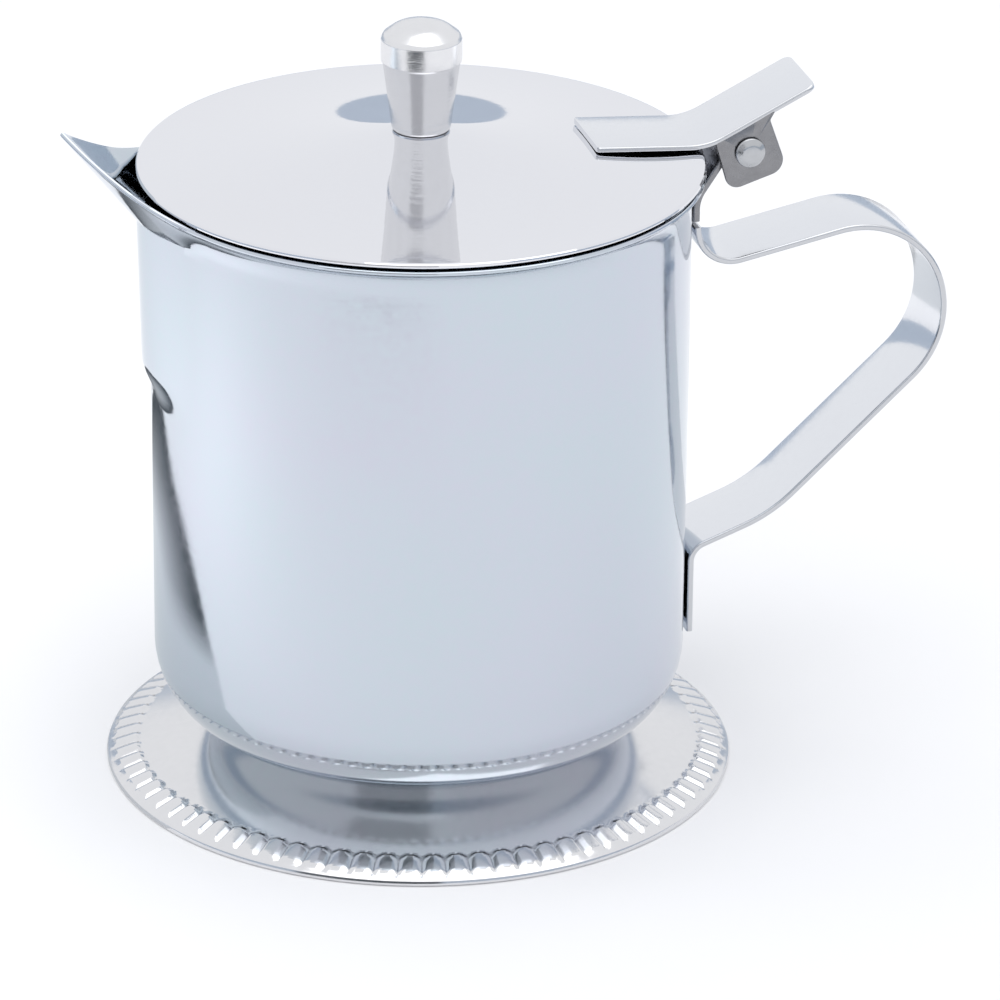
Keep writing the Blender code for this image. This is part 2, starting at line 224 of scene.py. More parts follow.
def rounded_path(corners, radii, closed=False):
    """Straight runs between corners, each corner replaced by a tangent arc of its radius."""
    points = []
    corners = np.array(corners, float)
    count = len(corners)
    for i, radius in enumerate(radii):
        here = corners[i]
        if radius == 0 or (not closed and i in (0, count - 1)):
            points.append(here[None])
            continue
        back = unit(corners[i - 1] - here)
        ahead = unit(corners[(i + 1) % count] - here)
        half = 0.5 * np.arccos(np.clip(back @ ahead, -1, 1))
        centre = here + unit(back + ahead) * radius / sin(half)
        start = atan2(*(here + back * radius / tan(half) - centre)[::-1])
        end = atan2(*(here + ahead * radius / tan(half) - centre)[::-1])
        sweep = (end - start + pi) % (2 * pi) - pi
        turn = start + sweep * np.linspace(0, 1, max(3, round(abs(sweep) / ARC_STEP) + 1))
        points.append(centre + radius * np.stack([np.cos(turn), np.sin(turn)], axis=-1))
    return np.concatenate(points)


def spaced(path, count, closed=False):
    """A path sampled again at equal steps of its own length."""
    if closed:
        path = np.concatenate([path, path[:1]])
    length = runs(path)
    at = np.linspace(0, length[-1], count + closed)[: count]
    return np.stack([np.interp(at, length, path[:, k]) for k in range(path.shape[1])], axis=-1)


def sheet_loop(line, thickness, start_cap, end_cap, cap_points=5):
    """Both faces of a sheet: the line, a half circle at its end, the line moved by the thickness along its
    left normal, and a half circle at its start. A cap of 0 leaves its half circle out. The last axis holds
    (radius, height)."""
    ahead = unit(np.diff(line, axis=-2))
    before = np.concatenate([ahead[..., :1, :], ahead], axis=-2)
    after = np.concatenate([ahead, ahead[..., -1:, :]], axis=-2)
    left = np.array([[0, 1], [-1, 0]])
    normal = unit(before + after) @ left
    normal = normal / np.maximum((normal * (before @ left)).sum(axis=-1, keepdims=True), 0.5)
    half = abs(thickness) / 2
    face = line.copy()
    face[..., -1, :] -= end_cap * half * before[..., -1, :]
    face[..., 0, :] += start_cap * half * after[..., 0, :]
    other = face + thickness * normal
    turn = np.linspace(0, pi, cap_points + 2)[1:-1, None]

    def cap(first, last, outward):
        middle = (first + last) / 2
        return middle + (first - middle) * np.cos(turn) + half * outward * np.sin(turn)

    rows = [face]
    if end_cap:
        rows.append(cap(face[..., -1:, :], other[..., -1:, :], before[..., -1:, :]))
    rows.append(other[..., ::-1, :])
    if start_cap:
        rows.append(cap(other[..., :1, :], face[..., :1, :], -after[..., :1, :]))
    return np.concatenate(rows, axis=-2)


def turned_grid(profile, angles):
    """A (radius, height) profile, one for all angles or one for each, carried round the cup's axis from the
    spout: x is the axis less r cos t, and y is -r sin t."""
    radius, height = np.broadcast_to(profile, (len(angles), *profile.shape[-2:])).transpose(2, 0, 1)
    cosine, sine = np.cos(angles)[:, None], np.sin(angles)[:, None]
    return np.stack([AXIS_X - radius * cosine, -radius * sine, height], axis=-1)


def surface(name, grid, around=True, along=False):
    """A mesh over a grid of points, with equal points welded, so a row that shrinks to a point is a pole, and
    turned inside out if its signed volume is negative, so its faces point outwards."""
    rows, columns = grid.shape[:2]
    index = np.arange(rows * columns).reshape(rows, columns)
    if around:
        index = np.concatenate([index, index[:1]])
    if along:
        index = np.concatenate([index, index[:, :1]], axis=1)
    quads = np.stack([index[:-1, :-1], index[1:, :-1], index[1:, 1:], index[:-1, 1:]], axis=-1).reshape(-1, 4)
    rounded = np.round(grid.reshape(-1, 3), WELD_DIGITS) + 0.0
    points, welded = np.unique(rounded, axis=0, return_inverse=True)
    quads = welded.reshape(-1)[quads]
    same = quads == np.roll(quads, -1, axis=1)
    whole = quads[~same.any(axis=1)]
    whole = whole[(whole[:, 0] != whole[:, 2]) & (whole[:, 1] != whole[:, 3])]
    pinched = same.sum(axis=1) == 1
    corners = quads[pinched][~same[pinched]].reshape(-1, 3)
    triangles = np.concatenate([whole[:, :3], whole[:, [0, 2, 3]], corners])
    a, b, c = (points[triangles[:, k]] for k in range(3))
    if np.einsum("ij,ij->i", a, np.cross(b, c)).sum() < 0:
        whole, corners = whole[:, ::-1], corners[:, ::-1]
    mesh = bpy.data.meshes.new(name)
    mesh.from_pydata(points, [], [*whole.tolist(), *corners.tolist()])
    mesh.shade_smooth()
    mesh.set_sharp_from_angle(angle=FOLD_ANGLE)
    piece = bpy.data.objects.new(name, mesh)
    bpy.context.scene.collection.objects.link(piece)
    return piece


def strip_grid(path, width, thickness, edge, start_round=0.0, end_round=0.0):
    """A flat strip along an (x, z) path, a rounded rectangle in each cross-section. At a distance s from an
    end, within its corner radius r, half the width is w/2 - r + sqrt(r^2 - (r - s)^2). Flat ends are closed
    to a point."""
    path = path + np.array([AXIS_X, 0])
    length = runs(path)
    tangent = unit(np.gradient(path, length, axis=0))
    normal = np.stack([-tangent[:, 1], tangent[:, 0]], axis=-1)
    half = np.full(len(path), width / 2)
    for corner, run in ((start_round, length), (end_round, length[-1] - length)):
        inside = np.clip(corner - run, 0, corner)
        half -= corner - np.sqrt(corner * corner - inside * inside)
    turn = full_turn(STRIP_STEPS) + pi / STRIP_STEPS
    across = np.sign(np.cos(turn)) * (half[:, None] - edge) + edge * np.cos(turn)
    lift = np.sign(np.sin(turn)) * (thickness / 2 - edge) + edge * np.sin(turn)
    x = path[:, :1] + normal[:, :1] * lift
    z = path[:, 1:] + normal[:, 1:] * lift
    grid = np.stack([x, across, z], axis=-1)
    first = np.broadcast_to([path[0, 0], 0, path[0, 1]], grid[:1].shape)
    last = np.broadcast_to([path[-1, 0], 0, path[-1, 1]], grid[:1].shape)
    return np.concatenate([first, grid, last])


def finish(piece, node, body, material):
    """Gives a piece its finish and its body, and lets it stand for a CAD node."""
    piece.data.materials.append(material)
    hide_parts(node)
    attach(piece, body)


# ---------------------------------------------------------------- finishes


def new_group(name, inputs, outputs):
    """An empty shader group with its named inputs and outputs."""
    tree = bpy.data.node_groups.new(name, "ShaderNodeTree")
    for title, kind, value in inputs:
        socket = tree.interface.new_socket(title, in_out="INPUT", socket_type=kind)
        if value is not None:
            socket.default_value = value
    for title, kind in outputs:
        tree.interface.new_socket(title, in_out="OUTPUT", socket_type=kind)
    return tree, tree.nodes.new("NodeGroupInput"), tree.nodes.new("NodeGroupOutput")


def wire(tree, pairs):
    """Links each output socket to its input socket."""
    for source, target in pairs:
        tree.links.new(source, target)


def math_node(tree, operation, first=None, second=None):
    """A Math node, with a number set on any input that isn't linked later."""
    node = tree.nodes.new("ShaderNodeMath")
    node.operation = operation
    for socket, value in zip(node.inputs, (first, second)):
        if value is not None:
            socket.default_value = value
    return node


def noise_node(tree, detail, dimensions="3D"):
    """A Noise Texture node."""
    node = tree.nodes.new("ShaderNodeTexNoise")
    node.noise_dimensions = dimensions
    node.inputs["Detail"].default_value = detail
    return node


def handling_group():
    """Handling marks: cloudy smudges and a fine scatter lift the roughness between two values and shade the
    colour."""
    name = "Handling marks"
    if name in bpy.data.node_groups:
        return bpy.data.node_groups[name]
    tree, start, end = new_group(
        name,
        [
            ("Position", "NodeSocketVector", None),
            ("Smudge Scale", "NodeSocketFloat", 30.0),
            ("Fine Scale", "NodeSocketFloat", 900.0),
            ("Polished", "NodeSocketFloat", 0.06),
            ("Marked", "NodeSocketFloat", 0.16),
            ("Bright", "NodeSocketColor", (0.8, 0.8, 0.8, 1)),
            ("Dull", "NodeSocketColor", (0.7, 0.7, 0.7, 1)),
        ],
        [("Color", "NodeSocketColor"), ("Roughness", "NodeSocketFloat"), ("Height", "NodeSocketFloat")],
    )
    cloud = noise_node(tree, 3.0)
    fine = noise_node(tree, 2.0)
    blend = tree.nodes.new("ShaderNodeMix")
    blend.inputs["Factor"].default_value = FINE_MARK_SHARE
    level = tree.nodes.new("ShaderNodeMapRange")
    level.inputs["From Min"].default_value, level.inputs["From Max"].default_value = MARK_RANGE
    tint = tree.nodes.new("ShaderNodeMix")
    tint.data_type = "RGBA"
    wire(
        tree,
        [
            (start.outputs["Position"], cloud.inputs["Vector"]),
            (start.outputs["Smudge Scale"], cloud.inputs["Scale"]),
            (start.outputs["Position"], fine.inputs["Vector"]),
            (start.outputs["Fine Scale"], fine.inputs["Scale"]),
            (cloud.outputs["Fac"], blend.inputs["A"]),
            (fine.outputs["Fac"], blend.inputs["B"]),
            (blend.outputs["Result"], level.inputs["Value"]),
            (start.outputs["Polished"], level.inputs["To Min"]),
            (start.outputs["Marked"], level.inputs["To Max"]),
            (blend.outputs["Result"], tint.inputs["Factor"]),
            (start.outputs["Bright"], tint.inputs["A"]),
            (start.outputs["Dull"], tint.inputs["B"]),
            (tint.outputs["Result"], end.inputs["Color"]),
            (level.outputs["Result"], end.inputs["Roughness"]),
            (fine.outputs["Fac"], end.inputs["Height"]),
        ],
    )
    return tree


def grain_group():
    """Grain: noise stretched along one way gives the fine lines of a brushed or rolled sheet."""
    name = "Brushed grain"
    if name in bpy.data.node_groups:
        return bpy.data.node_groups[name]
    tree, start, end = new_group(
        name,
        [
            ("Position", "NodeSocketVector", None),
            ("Stretch", "NodeSocketVector", (1.0, 1.0, 1.0)),
            ("Line Scale", "NodeSocketFloat", 1.0),
        ],
        [("Height", "NodeSocketFloat")],
    )
    stretch = tree.nodes.new("ShaderNodeVectorMath")
    stretch.operation = "MULTIPLY"
    lines = noise_node(tree, 4.0)
    wire(
        tree,
        [
            (start.outputs["Position"], stretch.inputs[0]),
            (start.outputs["Stretch"], stretch.inputs[1]),
            (stretch.outputs["Vector"], lines.inputs["Vector"]),
            (start.outputs["Line Scale"], lines.inputs["Scale"]),
            (lines.outputs["Fac"], end.inputs["Height"]),
        ],
    )
    return tree


def rings_group():
    """Rings: noise read at one number, the distance from the axis plus a share of the height, gives the fine
    rings that a lathe or a polishing wheel leaves."""
    name = "Turned rings"
    if name in bpy.data.node_groups:
        return bpy.data.node_groups[name]
    tree, start, end = new_group(
        name,
        [
            ("Position", "NodeSocketVector", None),
            ("Height Share", "NodeSocketFloat", 1.0),
            ("Rings per Metre", "NodeSocketFloat", 3000.0),
        ],
        [("Height", "NodeSocketFloat")],
    )
    parts = tree.nodes.new("ShaderNodeSeparateXYZ")
    squares = [math_node(tree, "MULTIPLY") for _ in range(2)]
    total = math_node(tree, "ADD")
    radius = math_node(tree, "SQRT")
    lift = math_node(tree, "MULTIPLY")
    reach = math_node(tree, "ADD")
    count = math_node(tree, "MULTIPLY")
    rings = noise_node(tree, 3.0, "1D")
    rings.inputs["Scale"].default_value = 1.0
    links = [(start.outputs["Position"], parts.inputs["Vector"])]
    for square, axis in zip(squares, "XY"):
        links += [(parts.outputs[axis], square.inputs[0]), (parts.outputs[axis], square.inputs[1])]
    links += [
        (squares[0].outputs[0], total.inputs[0]),
        (squares[1].outputs[0], total.inputs[1]),
        (total.outputs[0], radius.inputs[0]),
        (parts.outputs["Z"], lift.inputs[0]),
        (start.outputs["Height Share"], lift.inputs[1]),
        (radius.outputs[0], reach.inputs[0]),
        (lift.outputs[0], reach.inputs[1]),
        (reach.outputs[0], count.inputs[0]),
        (start.outputs["Rings per Metre"], count.inputs[1]),
        (count.outputs[0], rings.inputs["W"]),
        (rings.outputs["Fac"], end.inputs["Height"]),
    ]
    wire(tree, links)
    return tree


def edge_group():
    """Sheared edge: the colour turns to the edge's colour where the distance from the middle plane comes
    within the edge's width of half the strip's width."""
    name = "Sheared edge"
    if name in bpy.data.node_groups:
        return bpy.data.node_groups[name]
    tree, start, end = new_group(
        name,
        [
            ("Position", "NodeSocketVector", None),
            ("Color", "NodeSocketColor", (0.8, 0.8, 0.8, 1)),
            ("Edge Color", "NodeSocketColor", (0.4, 0.4, 0.4, 1)),
            ("Half Width", "NodeSocketFloat", 0.006),
            ("Edge Width", "NodeSocketFloat", 0.0004),
        ],
        [("Color", "NodeSocketColor")],
    )
    parts = tree.nodes.new("ShaderNodeSeparateXYZ")
    away = math_node(tree, "ABSOLUTE")
    inner = math_node(tree, "SUBTRACT")
    level = tree.nodes.new("ShaderNodeMapRange")
    tint = tree.nodes.new("ShaderNodeMix")
    tint.data_type = "RGBA"
    wire(
        tree,
        [
            (start.outputs["Position"], parts.inputs[0]),
            (parts.outputs["Y"], away.inputs[0]),
            (start.outputs["Half Width"], inner.inputs[0]),
            (start.outputs["Edge Width"], inner.inputs[1]),
            (away.outputs[0], level.inputs["Value"]),
            (inner.outputs[0], level.inputs["From Min"]),
            (start.outputs["Half Width"], level.inputs["From Max"]),
            (level.outputs["Result"], tint.inputs["Factor"]),
            (start.outputs["Color"], tint.inputs["A"]),
            (start.outputs["Edge Color"], tint.inputs["B"]),
            (tint.outputs["Result"], end.inputs["Color"]),
        ],
    )
    return tree


def place_group(tree, group, position, values):
    """A group node in a material, fed with positions and given its own values."""
    node = tree.nodes.new("ShaderNodeGroup")
    node.node_tree = group
    tree.links.new(position, node.inputs["Position"])
    for title, value in values.items():
        node.inputs[title].default_value = value
    return node


def shear_edges(material, values):
    """Puts the sheared edge between a steel's marks and its colour."""
    tree = material.node_tree
    colour_in = tree.nodes["Principled BSDF"].inputs["Base Color"]
    marks_colour = colour_in.links[0].from_socket
    position = marks_colour.node.inputs["Position"].links[0].from_socket
    edge = place_group(tree, edge_group(), position, values)
    edge.label = EDGE_LABEL
    wire(tree, [(marks_colour, edge.inputs["Color"]), (edge.outputs["Color"], colour_in)])


def steel(name, finish_values, texture_group, texture_values, bump_depth):
    """A polished steel: handling marks drive its colour and roughness, and they and a fine texture its bump.
    Positions are taken from the cup's axis."""
    if name in bpy.data.materials:
        return bpy.data.materials[name]
    material = bpy.data.materials.new(name)
    material.use_nodes = True
    tree = material.node_tree
    shader = tree.nodes["Principled BSDF"]
    shader.inputs["Metallic"].default_value = 1.0
    shader.inputs["Anisotropic"].default_value = finish_values.anisotropy
    coordinates = tree.nodes.new("ShaderNodeTexCoord")
    centre = tree.nodes.new("ShaderNodeMapping")
    centre.inputs["Location"].default_value = (-AXIS_X, 0, 0)
    tree.links.new(coordinates.outputs["Object"], centre.inputs["Vector"])
    position = centre.outputs["Vector"]
    marks = place_group(
        tree,
        handling_group(),
        position,
        {
            "Smudge Scale": finish_values.smudge_scale,
            "Fine Scale": finish_values.fine_scale,
            "Polished": finish_values.polished,
            "Marked": finish_values.marked,
            "Bright": (*finish_values.bright, 1),
            "Dull": (*finish_values.dull, 1),
        },
    )
    texture = place_group(tree, texture_group, position, texture_values)
    height = math_node(tree, "ADD")
    bump = tree.nodes.new("ShaderNodeBump")
    bump.inputs["Strength"].default_value = 1.0
    bump.inputs["Distance"].default_value = bump_depth
    wire(
        tree,
        [
            (marks.outputs["Height"], height.inputs[0]),
            (texture.outputs["Height"], height.inputs[1]),
            (height.outputs[0], bump.inputs["Height"]),
            (bump.outputs["Normal"], shader.inputs["Normal"]),
            (marks.outputs["Color"], shader.inputs["Base Color"]),
            (marks.outputs["Roughness"], shader.inputs["Roughness"]),
        ],
    )
    return material


# ---------------------------------------------------------------- settings


def metres(name, description, default):
    """A length that a user may change."""
    return bpy.props.FloatProperty(
        name=name, description=description, default=default, min=0.0, subtype="DISTANCE", precision=5
    )


def colour(name, description, default):
    """A colour that a user may change."""
    return bpy.props.FloatVectorProperty(
        name=name, description=description, default=default, size=3, min=0.0, max=1.0, subtype="COLOR"
    )


def share(name, description, default):
    """A number from 0 to 1 that a user may change."""
    return bpy.props.FloatProperty(
        name=name, description=description, default=default, min=0.0, max=1.0, subtype="FACTOR"
    )


def number(name, description, default):
    """A plain number that a user may change."""
    return bpy.props.FloatProperty(name=name, description=description, default=default)


class CreamerSizes(bpy.types.PropertyGroup):
    """Sheet sizes and the shapes that are pressed into them."""

    cup_sheet: metres("Cup sheet", "Thickness of the cup's wall", 0.0007)
    throat_depth: metres("Throat depth", "How far the throat stands out under the beak", 0.0024)
    lid_sheet: metres("Lid sheet", "Thickness of the lid", 0.0008)
    foot_sheet: metres("Foot sheet", "Thickness of the foot", 0.0008)
    flute_height: metres("Flute height", "How far each flute of the border stands up", 0.0005)
    flutes: bpy.props.IntProperty(name="Flutes", description="Flutes round the border", default=80, min=3)
    lever_sheet: metres("Lever sheet", "Thickness of the thumb lever", 0.0008)
    strap_sheet: metres("Handle strip", "Thickness of the handle's strip", 0.0009)
    strap_width: metres("Handle width", "Width of the handle's strip", 0.0127)
    edge: metres("Edge radius", "Rounding along the edges of the strips", 0.0003)


class SteelFinish(bpy.types.PropertyGroup):
    """One steel finish."""

    bright: colour("Bright", "Colour of the clean metal", (0.8, 0.8, 0.8))
    dull: colour("Dull", "Colour of the marked metal", (0.7, 0.7, 0.7))
    polished: share("Polished", "Roughness of the clean metal", 0.06)
    marked: share("Marked", "Roughness of the marked metal", 0.16)
    anisotropy: share("Anisotropy", "How far highlights stretch across the grain", 0.0)
    smudge_scale: number("Smudge scale", "Smudges per metre", 30.0)
    fine_scale: number("Fine scale", "Fine marks per metre", 900.0)


class CreamerFinishes(bpy.types.PropertyGroup):
    """The finishes of all the pieces."""

    satin: bpy.props.PointerProperty(name="Satin", description="Finish of the cup", type=SteelFinish)
    lid: bpy.props.PointerProperty(name="Lid", description="Finish of the lid", type=SteelFinish)
    foot: bpy.props.PointerProperty(name="Foot", description="Finish of the foot", type=SteelFinish)
    strap: bpy.props.PointerProperty(name="Strip", description="Finish of the strips", type=SteelFinish)
    turned: bpy.props.PointerProperty(name="Turned", description="Finish of the knob", type=SteelFinish)
    pin: bpy.props.PointerProperty(name="Pin", description="Finish of the pin and edges", type=SteelFinish)
    hinge: bpy.props.PointerProperty(name="Hinge", description="Finish of the hinge", type=SteelFinish)


class CreamerStudio(bpy.types.PropertyGroup):
    """The camera, the floor and the lights."""

    distance: metres("Distance", "Camera to target", 0.93557)
    elevation: bpy.props.FloatProperty(
        name="Elevation", description="Camera above level", default=radians(23.61), subtype="ANGLE"
    )
    turn: bpy.props.FloatProperty(
        name="Turn", description="Camera round the pot to the spout", default=radians(15), subtype="ANGLE"
    )
    roll: bpy.props.FloatProperty(name="Roll", description="Camera roll", default=0.0097, subtype="ANGLE")
    aside: metres("Aside", "Target to the right of the cup's axis", 0.01134)
    height: metres("Height", "Target above the table", 0.03862)
    lens: bpy.props.FloatProperty(name="Lens", description="Focal length in millimetres", default=239.03)
    floor: colour("Floor", "Colour of the floor", (0.93, 0.93, 0.94))
    floor_radius: metres("Floor radius", "Reach of the round floor", 3.0)
    haze_radius: metres("Haze radius", "Distance of the blue-grey band that the steel reflects", 0.75)
    haze_height: metres("Haze height", "Height of the blue-grey band", 0.171)
    sky: colour("Surround", "Colour of the studio's surround", (0.965, 0.975, 1.0))
    haze: colour("Haze", "Colour of the band that the steel reflects", (0.47, 0.53, 0.61))
    sky_strength: number("Surround strength", "Light from the surround", 0.97)
    key_power: number("Key power", "Watts of the large light overhead", 4.2)
    side_power: number("Side power", "Watts of the low light beside the spout", 0.05)
    shade: colour("Shade", "Colour of the dark panels that the steel reflects", (0.07, 0.08, 0.09))
    grey: colour("Grey panels", "Colour of the grey panels that the steel reflects", (0.56, 0.56, 0.57))
    # Pale tone of the painted shadows that the steel reflects
    pale_shadow: colour("Pale painted shadow", "Colour of the palest panel that the steel reflects", (0.68, 0.70, 0.72))


STEEL_TEXTURES = {
    "satin": ("satin steel", grain_group, {"Stretch": (0.2, 0.2, 1), "Line Scale": 1600.0}, 0.0000022),
    "lid": ("lid steel", rings_group, {"Height Share": 0.0, "Rings per Metre": 2600.0}, 0.0000010),
    "foot": ("foot steel", rings_group, {"Height Share": 0.0, "Rings per Metre": 2200.0}, 0.0000008),
    "strap": ("strip steel", grain_group, {"Stretch": (0.08, 1, 0.08), "Line Scale": 2200.0}, 0.0000012),
    "turned": ("turned steel", rings_group, {"Height Share": 1.0, "Rings per Metre": 2700.0}, 0.0000140),
    "pin": ("pin steel", grain_group, {"Stretch": (1, 1, 1), "Line Scale": 2600.0}, 0.0000040),
    # The hinge steel's base colour carries painted shade, set in its finish values
    "hinge": ("hinge steel with painted shade", grain_group, {"Stretch": (1, 1, 1), "Line Scale": 2600.0}, 0.0000080),
}


def steels(scene):
    """The finished steels by name, from the scene's settings and the table of textures, where each steel has
    its name, its texture's group and values, and its bump's depth in metres."""
    finishes = scene.creamer_finishes
    looks = {
        title: steel(name, getattr(finishes, title), group(), values, depth)
        for title, (name, group, values, depth) in STEEL_TEXTURES.items()
    }
    if not any(node.label == EDGE_LABEL for node in looks["strap"].node_tree.nodes):
        edge = {"Edge Color": (*finishes.pin.bright, 1), "Half Width": scene.creamer_sizes.strap_width / 2}
        shear_edges(looks["strap"], edge)
    return looks


FINISH_VALUES = {
    "satin": dict(bright=(0.520, 0.655, 0.665), dull=(0.625, 0.585, 0.695), polished=0.05, marked=0.14),
    "lid": dict(bright=(0.81, 0.82, 0.85), dull=(0.79, 0.79, 0.82), polished=0.02, marked=0.05),
    "foot": dict(bright=(0.80, 0.80, 0.81), dull=(0.72, 0.72, 0.73), polished=0.10, marked=0.19),
    "strap": dict(bright=(0.81, 0.83, 0.86), dull=(0.77, 0.78, 0.81), polished=0.08, marked=0.18),
    "turned": dict(
        bright=(0.84, 0.84, 0.85), dull=(0.74, 0.74, 0.75), polished=0.14, marked=0.26, anisotropy=0.6
    ),
    "pin": dict(bright=(0.58, 0.59, 0.61), dull=(0.44, 0.45, 0.46), polished=0.14, marked=0.28),
    # The hinge's dark colours are painted shade: they stand in for the dark reflection that the ears, bracket
    # and screw show
    "hinge": dict(bright=(0.36, 0.36, 0.37), dull=(0.20, 0.20, 0.21), polished=0.16, marked=0.32),
}


# ---------------------------------------------------------------- pieces


def cup_profile(angles, throat_depth):
    """Outer profile of the cup for each angle from the spout's axis, as (radius, height).

    The floor is flat and its corner a quarter circle. The wall stands at the cup's radius. The throat adds
    its depth times two shares: a smooth step towards the spout's axis, and a smooth step up the wall to the
    share at its foot, which then grows evenly to 1. With u the share of the beak's half angle that is left,
    the rim's radius grows by u^1.28 of the reach and its height by u^1.46 of the rise. The flare runs from
    the wall to the rim on a quarter ellipse, which turns into a straight line in the beak."""
    beak = np.clip(1 - np.abs(angles) / BEAK_HALF_ANGLE, 0, 1)[:, None]
    rim_radius = RIM_RADIUS + (BEAK_TIP_RADIUS - RIM_RADIUS) * beak ** BEAK_REACH_POWER
    rim_z = RIM_Z + (BEAK_TIP_Z - RIM_Z) * beak ** BEAK_RISE_POWER
    turn = np.linspace(-pi / 2, 0, CORNER_POINTS)
    corner_start = np.array([CUP_RADIUS - CUP_CORNER_RADIUS, CUP_BOTTOM_Z + CUP_CORNER_RADIUS])
    base_radius = corner_start[0] * np.linspace(0, 1, BASE_POINTS, endpoint=False)
    base = np.stack([base_radius, np.full(BASE_POINTS, CUP_BOTTOM_Z)], axis=-1)
    corner = corner_start + CUP_CORNER_RADIUS * np.stack([np.cos(turn), np.sin(turn)], axis=-1)
    low_wall = np.linspace(corner_start[1], THROAT_BASE_Z, LOW_WALL_POINTS)[1:-1]
    z = np.concatenate([low_wall, np.linspace(THROAT_BASE_Z, CUP_SHOULDER_Z, THROAT_POINTS)])
    spread = smooth_step(1 - np.abs(angles) / THROAT_HALF_ANGLE)[:, None]
    foot = smooth_step((z - THROAT_BASE_Z) / (THROAT_FULL_Z - THROAT_BASE_Z))
    above = np.clip((z - THROAT_FULL_Z) / (CUP_SHOULDER_Z - THROAT_FULL_Z), 0, 1)
    rise = foot * (THROAT_FOOT_SHARE + (1 - THROAT_FOOT_SHARE) * above)
    wall_radius = CUP_RADIUS + throat_depth * spread * rise
    wall = np.stack([wall_radius, np.broadcast_to(z, wall_radius.shape)], axis=-1)
    t = np.linspace(0, 1, FLARE_POINTS)[1:]
    straight = smooth_step(2 * beak)
    out = straight * t + (1 - straight) * (1 - np.cos(t * pi / 2))
    up = straight * t + (1 - straight) * np.sin(t * pi / 2)
    flare_radius = wall_radius[:, -1:] + (rim_radius - wall_radius[:, -1:]) * out
    flare = np.stack([flare_radius, CUP_SHOULDER_Z + (rim_z - CUP_SHOULDER_Z) * up], axis=-1)
    bottom = np.concatenate([base, corner])
    return np.concatenate([np.broadcast_to(bottom, (len(angles), *bottom.shape)), wall, flare], axis=1)


def foot_grid(sizes):
    """The foot: a line from its seat to its edge with a sheet's thickness, and a border of flutes.

    Across a flute, a runs from 0 on its crest to 1 in the groove. Its height is sqrt(1 - a^2) of the flutes'
    height, cut off at both ends by smooth steps, and its inner end is rounded because it starts later by
    1 - sqrt(1 - a^2) of the end's depth."""
    top = spaced(rounded_path(FOOT_LINE, FOOT_LINE_RADII), FOOT_POINTS)
    profile = sheet_loop(top, -sizes.foot_sheet, 0, 1, FOOT_CAP_POINTS)
    angles = full_turn(FLUTE_STEPS * sizes.flutes)
    grid = turned_grid(profile, angles)
    across = 2 * np.abs((angles * sizes.flutes / (2 * pi)) % 1 - 0.5)[:, None]
    crest = np.sqrt(np.clip(1 - across**2, 0, 1))
    radius = profile[:, 0]
    begin = (radius - FLUTE_INNER_RADIUS - FLUTE_END_DEPTH * (1 - crest)) / FLUTE_BLEND
    cease = (FLUTE_OUTER_RADIUS - radius) / FLUTE_BLEND
    grid[..., 2] += sizes.flute_height * crest * smooth_step(begin) * smooth_step(cease)
    return grid


def lid_line(sizes):
    """Top line of the lid: level over the knob's seat, then above its edge by (1 - r/R)^1.8 of its rise."""
    slope = np.linspace(KNOB_SEAT_RADIUS, LID_RADIUS, LID_POINTS)
    radius = np.concatenate([[SCREW_HOLE_RADIUS, SEAT_MIDDLE_RADIUS], slope])
    top = LID_LOW.z + sizes.lid_sheet
    share_left = 1 - np.maximum(radius, KNOB_SEAT_RADIUS) / LID_RADIUS
    seat_share = (1 - KNOB_SEAT_RADIUS / LID_RADIUS) ** LID_RISE_POWER
    rise = (LID_HIGH.z - top) / seat_share
    return np.stack([radius, top + rise * share_left**LID_RISE_POWER], axis=-1)


def handle_path(sheet):
    """Middle line of the handle, as (x, z): down the wall, out and over the fingers, and back to the wall."""
    wall_x = CUP_RADIUS + WELD_GAP + sheet / 2
    corners = [
        (wall_x, STRAP_TOP_Z), (wall_x, STRAP_DIP_Z), STRAP_CREST, STRAP_TURN, STRAP_EASE,
        (wall_x, STRAP_HEEL_Z), (wall_x, STRAP_END_Z),
    ]
    return spaced(rounded_path(corners, STRAP_RADII), STRAP_POINTS)


def bracket_path():
    """Middle line of the bracket, as (x, z): up the wall, out to the pin on a tangent and round it."""
    wall_x = CUP_RADIUS + WELD_GAP + BRACKET_SHEET / 2
    knuckle = KNUCKLE_BORE_RADIUS + BRACKET_SHEET / 2
    run = hypot(PIN_X - wall_x, PIN_Z - BRACKET_BEND_Z)
    heading = atan2(PIN_Z - BRACKET_BEND_Z, PIN_X - wall_x) + asin(knuckle / run)
    turn = heading + pi / 2 - np.linspace(0, KNUCKLE_WRAP, KNUCKLE_POINTS)
    roll = np.stack([PIN_X + knuckle * np.cos(turn), PIN_Z + knuckle * np.sin(turn)], axis=-1)
    corners = [(wall_x, BRACKET_FOOT_Z), (wall_x, BRACKET_BEND_Z), tuple(roll[0])]
    return np.concatenate([rounded_path(corners, (0, BRACKET_BEND_RADIUS, 0)), roll[1:]])


def ear_grid(sizes, side):
    """An ear: rings that widen from the pin's hole to the outline on one face, and narrow again on the other,
    with the outline's edges taken off."""
    outline = spaced(rounded_path(EAR_OUTLINE, EAR_CORNER_RADII, closed=True), EAR_POINTS, closed=True)
    centre = np.array([PIN_X, PIN_Z])
    inward = unit(centre - outline)
    hole = centre - inward * KNUCKLE_BORE_RADIUS
    soft = outline + inward * sizes.edge
    cut = sizes.edge * EDGE_CUT_SHARE
    rounded = outline + inward * cut
    half = sizes.lever_sheet / 2
    middle = side * (LEVER_WIDTH / 2 - half)
    rings = (
        (hole, half), (soft, half), (rounded, half - cut), (outline, half - sizes.edge),
        (outline, sizes.edge - half), (rounded, cut - half), (soft, -half), (hole, -half),
    )
    flat = np.stack([ring for ring, _ in rings], axis=1)
    across = np.broadcast_to([middle + y for _, y in rings], flat.shape[:2])
    return np.stack([flat[..., 0] + AXIS_X, across, flat[..., 1]], axis=-1)


